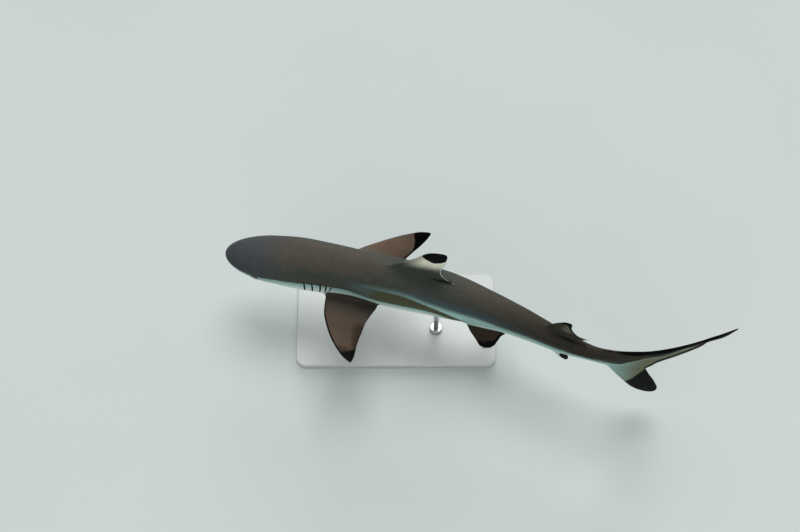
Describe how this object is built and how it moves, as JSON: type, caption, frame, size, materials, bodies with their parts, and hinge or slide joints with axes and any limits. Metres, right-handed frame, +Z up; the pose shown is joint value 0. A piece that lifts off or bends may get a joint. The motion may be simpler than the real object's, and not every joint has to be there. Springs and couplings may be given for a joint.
{
  "type": "reef shark",
  "caption": "Still, life-size model of a reef shark in a gentle swimming curve, with black-tipped fins and a pale belly, held over a flat display base by short rods.",
  "frame": {"origin": "on the floor, at the middle of the underside of the stand's base", "axes": "+X from the head towards the tail, +Y towards the shark's right side, +Z up"},
  "size_m": [1.1196, 0.3411, 0.3597],
  "materials": {
    "skin": "smooth satin skin, dark grey-brown above and off-white below",
    "eye": "clear gloss over a dark iris",
    "base_paint": "pale grey satin paint",
    "steel": "fine brushed"
  },
  "bodies": {
    "root": {"head": "skin", "lower_jaw": "skin", "gills": "skin", "trunk_front": "skin", "trunk_rear": "skin", "tail_stalk": "skin", "tail_upper_lobe": "skin", "tail_lower_lobe": "skin", "first_dorsal_fin": "skin", "second_dorsal_fin": "skin", "anal_fin": "skin", "left_pectoral_fin": "skin", "right_pectoral_fin": "skin", "left_pelvic_fin": "skin", "right_pelvic_fin": "skin", "left_eye": "eye", "right_eye": "eye", "stand_base": "base_paint", "stand_collar_front": "steel", "stand_collar_rear": "steel", "stand_rod_front": "steel", "stand_rod_rear": "steel"}
  },
  "joints": []
}
